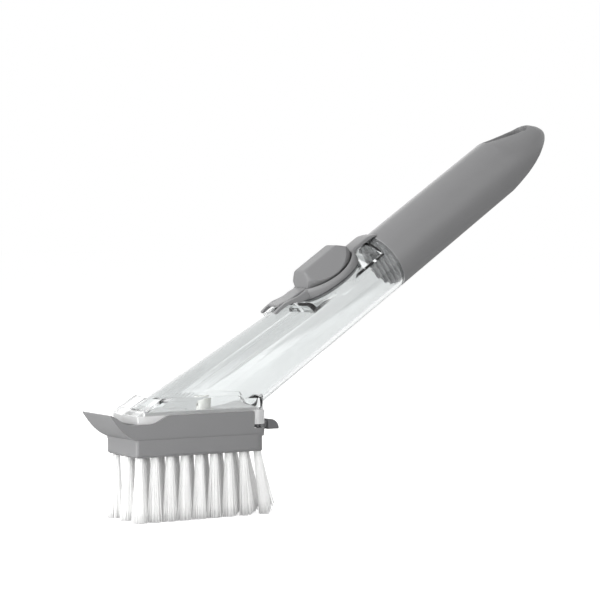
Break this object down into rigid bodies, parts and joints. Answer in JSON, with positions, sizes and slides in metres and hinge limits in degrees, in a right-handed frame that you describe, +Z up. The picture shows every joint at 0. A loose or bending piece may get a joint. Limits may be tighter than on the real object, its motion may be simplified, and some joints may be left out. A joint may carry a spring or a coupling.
{
  "type": "dish wand",
  "caption": "Dish brush with a clear soap tank, a raised pump pad on a hinged filling cap, a scooped grip with a hang hole, and a clip-off bristle head with a scraper lip.",
  "frame": {"origin": "middle of the bounding box in plan, at the bristle tips", "axes": "+Z up from the bristle tips, +X from the scraper lip to the grip's end, Y across, y = 0 is the mirror plane"},
  "size_m": [0.2606, 0.03, 0.1898],
  "materials": {
    "clear_plastic": "clear, glossy, faint cool tint",
    "grey_plastic": "satin mid grey",
    "cap_plastic": "soft satin grey",
    "soft_grey": "soft-touch matte grey",
    "dark_plastic": "satin dark grey",
    "white_plastic": "natural white",
    "silicone": "translucent white silicone",
    "seal_rubber": "matte black rubber",
    "nylon": "white nylon filament",
    "steel": "bright drawn wire and strip"
  },
  "bodies": {
    "wand": {"reservoir": "clear_plastic", "base_plate": "clear_plastic", "outlet_valve": "silicone", "valve_ring": "white_plastic", "pipe_seal": "seal_rubber", "handle": "grey_plastic", "handle_plug": "grey_plastic", "plug_seal": "seal_rubber", "fill_gasket": "seal_rubber"},
    "fill_cap": {"cap_frame": "cap_plastic", "cap_strap": "cap_plastic", "cap_liner": "grey_plastic", "pump_diaphragm": "silicone"},
    "press_button": {"press_pad": "soft_grey", "pad_core": "grey_plastic"},
    "head": {"brush_head": "grey_plastic", "bristles_row_1": "nylon", "bristles_row_2": "nylon", "bristles_row_3": "nylon", "bristles_row_4": "nylon", "bristles_row_5": "nylon", "tuft_anchors": "steel", "catch_spring": "steel"},
    "latch": {"release_latch": "dark_plastic"}
  },
  "joints": [
    {"name": "cap_hinge", "type": "hinge", "parent": "wand", "child": "fill_cap", "pos_m": [0.01266, 0, 0.1277], "axis": [0, 1, 0], "range_deg": [0, 110], "deforming": ["cap_strap"]},
    {"name": "pad_press", "type": "slide", "parent": "fill_cap", "child": "press_button", "axis": [0.5611, 0, -0.8278], "range_m": [0, 0.0025], "stiffness_N_per_m": 2000, "springref_m": -0.001, "deforming": ["pump_diaphragm"]},
    {"name": "head_release", "type": "slide", "parent": "wand", "child": "head", "axis": [0, 0, -1], "range_m": [0, 0.02], "deforming": ["catch_spring"]},
    {"name": "latch_push", "type": "slide", "parent": "head", "child": "latch", "axis": [-1, 0, 0], "range_m": [0, 0.0025], "stiffness_N_per_m": 800, "springref_m": -0.001, "deforming": ["catch_spring"]}
  ]
}
